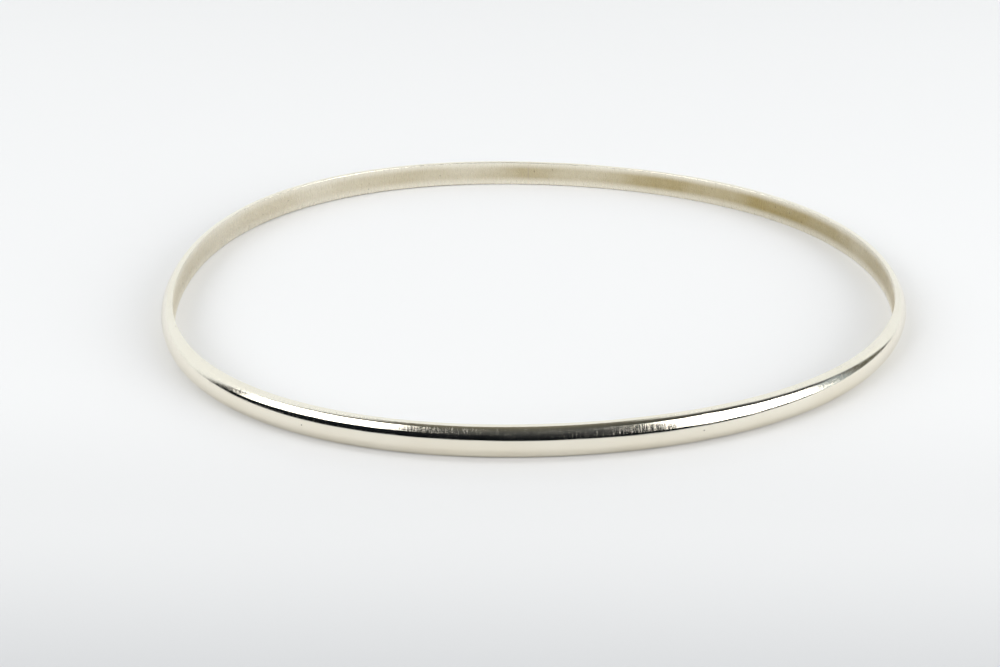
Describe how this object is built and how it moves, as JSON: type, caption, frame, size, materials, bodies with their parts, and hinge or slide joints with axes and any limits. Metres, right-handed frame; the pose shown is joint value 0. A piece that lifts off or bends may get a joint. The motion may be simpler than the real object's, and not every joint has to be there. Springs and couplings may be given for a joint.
{
  "type": "bangle bracelet",
  "caption": "Plain closed bangle of half-round polished silver wire: a thin rigid ring with a flat inner wall and a domed outer face that slips over the hand.",
  "frame": {"origin": "centre of the ring, on the surface that the bangle lies on", "axes": "+Z along the axis of the ring, up from the face it rests on; +Y towards the solder seam"},
  "size_m": [0.067, 0.067, 0.0025],
  "materials": {
    "silver": "polished by hand, with fine hairlines across and along the wire",
    "solder": "polished flush, a shade yellower than the wire"
  },
  "bodies": {
    "root": {"band": "silver", "solder_seam": "solder"}
  },
  "joints": []
}
